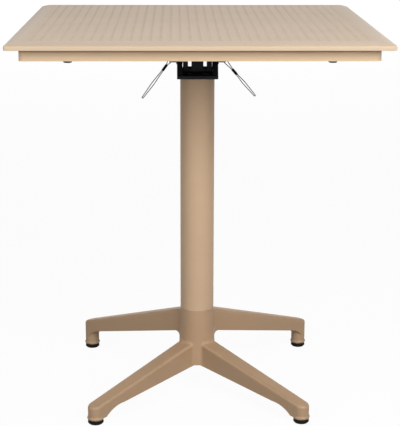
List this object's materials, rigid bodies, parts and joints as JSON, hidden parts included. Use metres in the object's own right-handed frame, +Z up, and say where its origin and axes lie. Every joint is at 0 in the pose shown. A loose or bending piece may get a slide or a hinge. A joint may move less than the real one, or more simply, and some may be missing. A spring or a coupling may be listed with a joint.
{
  "type": "folding balcony table",
  "caption": "Square outdoor pedestal table whose moulded top flips down on a sprung lock hinge, with pull loops, a round column and a nesting cast base on levelling glides.",
  "frame": {"origin": "on the floor, under the column's axis", "axes": "+Z up along the column, -Y the front (the top folds down towards it), +X to the right"},
  "size_m": [0.67, 0.67, 0.75],
  "materials": {
    "resin_top": "fine moulded grain, sand coloured",
    "taupe_metal": "fine-textured powder coat, taupe",
    "black_casting": "satin black coat",
    "steel": "zinc plated",
    "wire": "drawn stainless wire",
    "nylon": "black moulded nylon",
    "rubber": "matt black"
  },
  "bodies": {
    "base": {"base_casting": "taupe_metal", "column_tube": "taupe_metal", "column_head": "black_casting", "tie_rod": "steel", "tie_rod_washer": "steel", "tie_rod_nut": "steel", "hinge_axle": "steel", "lock_sleeve_left": "black_casting", "lock_spring_left": "steel", "lock_sleeve_right": "black_casting", "lock_spring_right": "steel"},
    "top": {"tabletop": "resin_top", "edge_bumpers": "rubber", "top_bracket": "black_casting", "bracket_screws": "steel", "hinge_bush_left": "nylon", "hinge_bush_right": "nylon"},
    "lock_left": {"lock_pin_left": "steel"},
    "loop_left": {"pull_loop_left": "wire", "loop_ferrule_left": "nylon"},
    "lock_right": {"lock_pin_right": "steel"},
    "loop_right": {"pull_loop_right": "wire", "loop_ferrule_right": "nylon"},
    "glide_front_left": {"glide_pad_front_left": "nylon", "glide_stem_front_left": "steel"},
    "glide_front_right": {"glide_pad_front_right": "nylon", "glide_stem_front_right": "steel"},
    "glide_rear_left": {"glide_pad_rear_left": "nylon", "glide_stem_rear_left": "steel"},
    "glide_rear_right": {"glide_pad_rear_right": "nylon", "glide_stem_rear_right": "steel"}
  },
  "joints": [
    {"name": "top_fold", "type": "hinge", "parent": "base", "child": "top", "pos_m": [0, -0.01, 0.6562], "axis": [1, 0, 0], "range_deg": [0, 90]},
    {"name": "lock_left_slide", "type": "slide", "parent": "base", "child": "lock_left", "axis": [1, 0, 0], "range_m": [0, 0.005], "stiffness_N_per_m": 800, "springref_m": 0.012, "deforming": ["lock_spring_left"]},
    {"name": "loop_left_swing", "type": "hinge", "parent": "lock_left", "child": "loop_left", "pos_m": [-0.0554, -0.01, 0.6722], "axis": [0, 1, 0], "range_deg": [-35, 40]},
    {"name": "lock_right_slide", "type": "slide", "parent": "base", "child": "lock_right", "axis": [-1, 0, 0], "range_m": [0, 0.005], "stiffness_N_per_m": 800, "springref_m": 0.012, "deforming": ["lock_spring_right"]},
    {"name": "loop_right_swing", "type": "hinge", "parent": "lock_right", "child": "loop_right", "pos_m": [0.0554, -0.01, 0.6722], "axis": [0, 1, 0], "range_deg": [-40, 25]},
    {"name": "glide_front_left_level", "type": "slide", "parent": "base", "child": "glide_front_left", "axis": [0, 0, -1], "range_m": [0, 0.01]},
    {"name": "glide_front_right_level", "type": "slide", "parent": "base", "child": "glide_front_right", "axis": [0, 0, -1], "range_m": [0, 0.01]},
    {"name": "glide_rear_left_level", "type": "slide", "parent": "base", "child": "glide_rear_left", "axis": [0, 0, -1], "range_m": [0, 0.01]},
    {"name": "glide_rear_right_level", "type": "slide", "parent": "base", "child": "glide_rear_right", "axis": [0, 0, -1], "range_m": [0, 0.01]}
  ]
}
